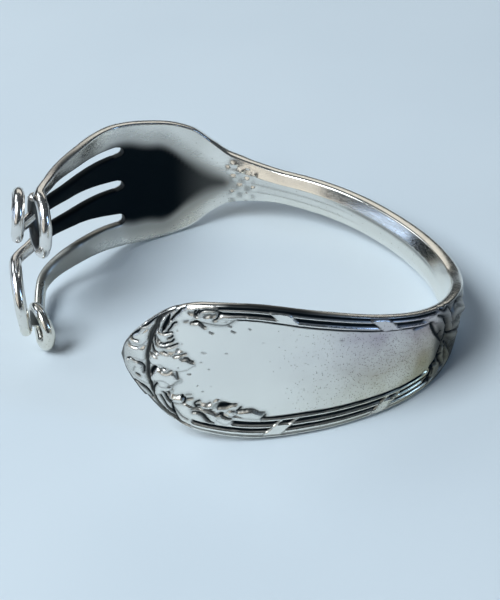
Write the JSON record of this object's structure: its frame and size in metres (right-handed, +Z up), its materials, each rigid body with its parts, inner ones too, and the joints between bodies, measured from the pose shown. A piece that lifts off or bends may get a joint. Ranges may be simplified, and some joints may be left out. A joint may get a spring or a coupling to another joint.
{
  "type": "fork cuff bracelet",
  "caption": "Silver-plated table fork bent into an open wrist cuff, with scrolled tine ends, a dished bowl, a slim stem and a reeded, leaf-edged handle panel.",
  "frame": {"origin": "on the surface that the cuff lies on, under the middle of its bounding box", "axes": "+X from the tines' side towards the stem's side, +Y from the handle panel towards the bowl, +Z up; the wrist goes through roughly along Z"},
  "size_m": [0.0688, 0.059, 0.0248],
  "materials": {
    "silver": "polished silver plate, darkened in the grooves and inside the bowl, with fine pits and scratches"
  },
  "bodies": {
    "root": {"fork_cuff": "silver"}
  },
  "joints": []
}
